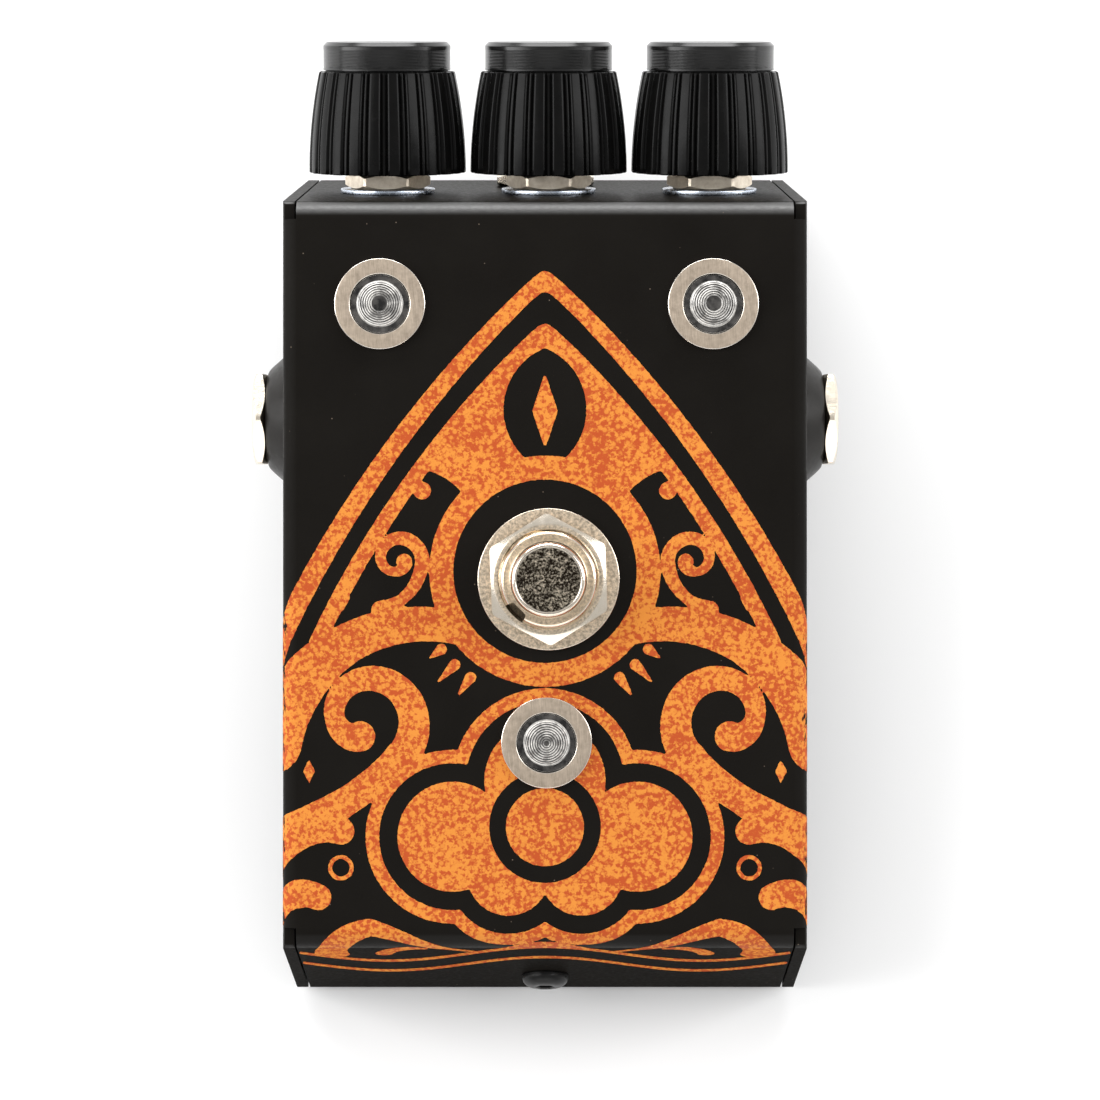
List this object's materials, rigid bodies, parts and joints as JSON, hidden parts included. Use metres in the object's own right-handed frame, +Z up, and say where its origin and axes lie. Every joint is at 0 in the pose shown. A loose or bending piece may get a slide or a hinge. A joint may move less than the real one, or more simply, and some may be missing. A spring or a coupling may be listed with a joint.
{
  "type": "guitar effects pedal",
  "caption": "Compact guitar effects pedal: folded steel case, three knobs on the back panel, indicator lenses, footswitch and a jack on each side.",
  "frame": {"origin": "bottom centre of the whole object's box: on the surface the rubber feet stand on", "axes": "+X to the player's right, +Y towards the back panel with the knobs, +Z up"},
  "size_m": [0.0762, 0.1234, 0.05],
  "materials": {
    "black_powder_coat": "satin black powder coat on folded steel",
    "black_oxide": "black oxide steel",
    "zinc_plate": "bright zinc plating",
    "bright_nickel": "bright nickel plating",
    "brushed_washer": "flat brushed stainless steel",
    "spring_steel": "drawn spring wire",
    "solder_lugs": "tinned brass",
    "black_rubber": "matt rubber",
    "black_phenolic": "moulded gloss black",
    "black_anodised": "turned aluminium, anodised black",
    "black_moulding": "satin moulded plastic",
    "switch_case_blue": "moulded phenolic case",
    "clear_lens": "clear moulded lens",
    "circuit_board": "green solder mask on glass fibre",
    "capacitor_sleeve": "printed plastic sleeve, aluminium end",
    "film_capacitor": "yellow film box",
    "resistor_body": "blue lacquer",
    "ribbon_grey": "grey ribbon cable",
    "lead_red": "twin insulated lead",
    "phenolic": "brown phenolic wafer",
    "orange_ink": "two-tone screen-printed ink over the coat"
  },
  "bodies": {
    "case": {"base_plate": "black_powder_coat", "base_screws": "black_oxide", "board_chips": "black_moulding", "board_electrolytics": "capacitor_sleeve", "board_film_capacitors": "film_capacitor", "board_resistors": "resistor_body", "board_screws": "zinc_plate", "board_standoffs": "zinc_plate", "clinch_nuts": "zinc_plate", "footswitch_board": "circuit_board", "footswitch_bushing": "bright_nickel", "footswitch_case": "switch_case_blue", "footswitch_inner_nut": "bright_nickel", "footswitch_lock_washer": "zinc_plate", "footswitch_lugs": "solder_lugs", "footswitch_nut": "bright_nickel", "footswitch_spring": "spring_steel", "footswitch_washer": "bright_nickel", "jack_body_left": "black_moulding", "jack_body_right": "black_moulding", "jack_contacts_left": "solder_lugs", "jack_contacts_right": "solder_lugs", "jack_nuts": "bright_nickel", "jack_ring_left": "black_moulding", "jack_ring_right": "black_moulding", "led_lens_front": "clear_lens", "led_lens_left": "clear_lens", "led_lens_right": "clear_lens", "led_washers": "brushed_washer", "leds": "clear_lens", "main_board": "circuit_board", "pot_can_left": "zinc_plate", "pot_can_middle": "zinc_plate", "pot_can_right": "zinc_plate", "pot_lugs": "solder_lugs", "pot_nuts": "bright_nickel", "pot_wafers": "phenolic", "pot_washers": "zinc_plate", "power_lead": "lead_red", "power_socket": "black_moulding", "power_socket_lugs": "solder_lugs", "power_socket_nut": "bright_nickel", "power_socket_pin": "bright_nickel", "rubber_feet": "black_rubber", "switch_ribbon": "ribbon_grey", "top_shell": "black_powder_coat"},
    "knob_body_left": {"knob_cap_left": "black_anodised", "knob_grub_screw_left": "black_oxide", "knob_left": "black_phenolic", "pot_shaft_left": "solder_lugs"},
    "knob_body_middle": {"knob_cap_middle": "black_anodised", "knob_grub_screw_middle": "black_oxide", "knob_middle": "black_phenolic", "pot_shaft_middle": "solder_lugs"},
    "knob_body_right": {"knob_cap_right": "black_anodised", "knob_grub_screw_right": "black_oxide", "knob_right": "black_phenolic", "pot_shaft_right": "solder_lugs"},
    "plunger_body": {"footswitch_plunger": "bright_nickel"}
  },
  "joints": [
    {"name": "turn_knob_left", "type": "hinge", "parent": "case", "child": "knob_body_left", "pos_m": [-0.0206, 0.04063, 0.02962], "axis": [0, 0.9367, 0.3502], "range_deg": [-150, 150]},
    {"name": "turn_knob_middle", "type": "hinge", "parent": "case", "child": "knob_body_middle", "pos_m": [0.00045, 0.04063, 0.02962], "axis": [0, 0.9367, 0.3502], "range_deg": [-150, 150]},
    {"name": "turn_knob_right", "type": "hinge", "parent": "case", "child": "knob_body_right", "pos_m": [0.0215, 0.04063, 0.02962], "axis": [0, 0.9367, 0.3502], "range_deg": [-150, 150]},
    {"name": "press_footswitch", "type": "slide", "parent": "case", "child": "plunger_body", "axis": [0, 0.1959, -0.9806], "range_m": [0, 0.0025], "stiffness_N_per_m": 4000, "springref_m": -0.002, "deforming": ["footswitch_spring"]}
  ]
}
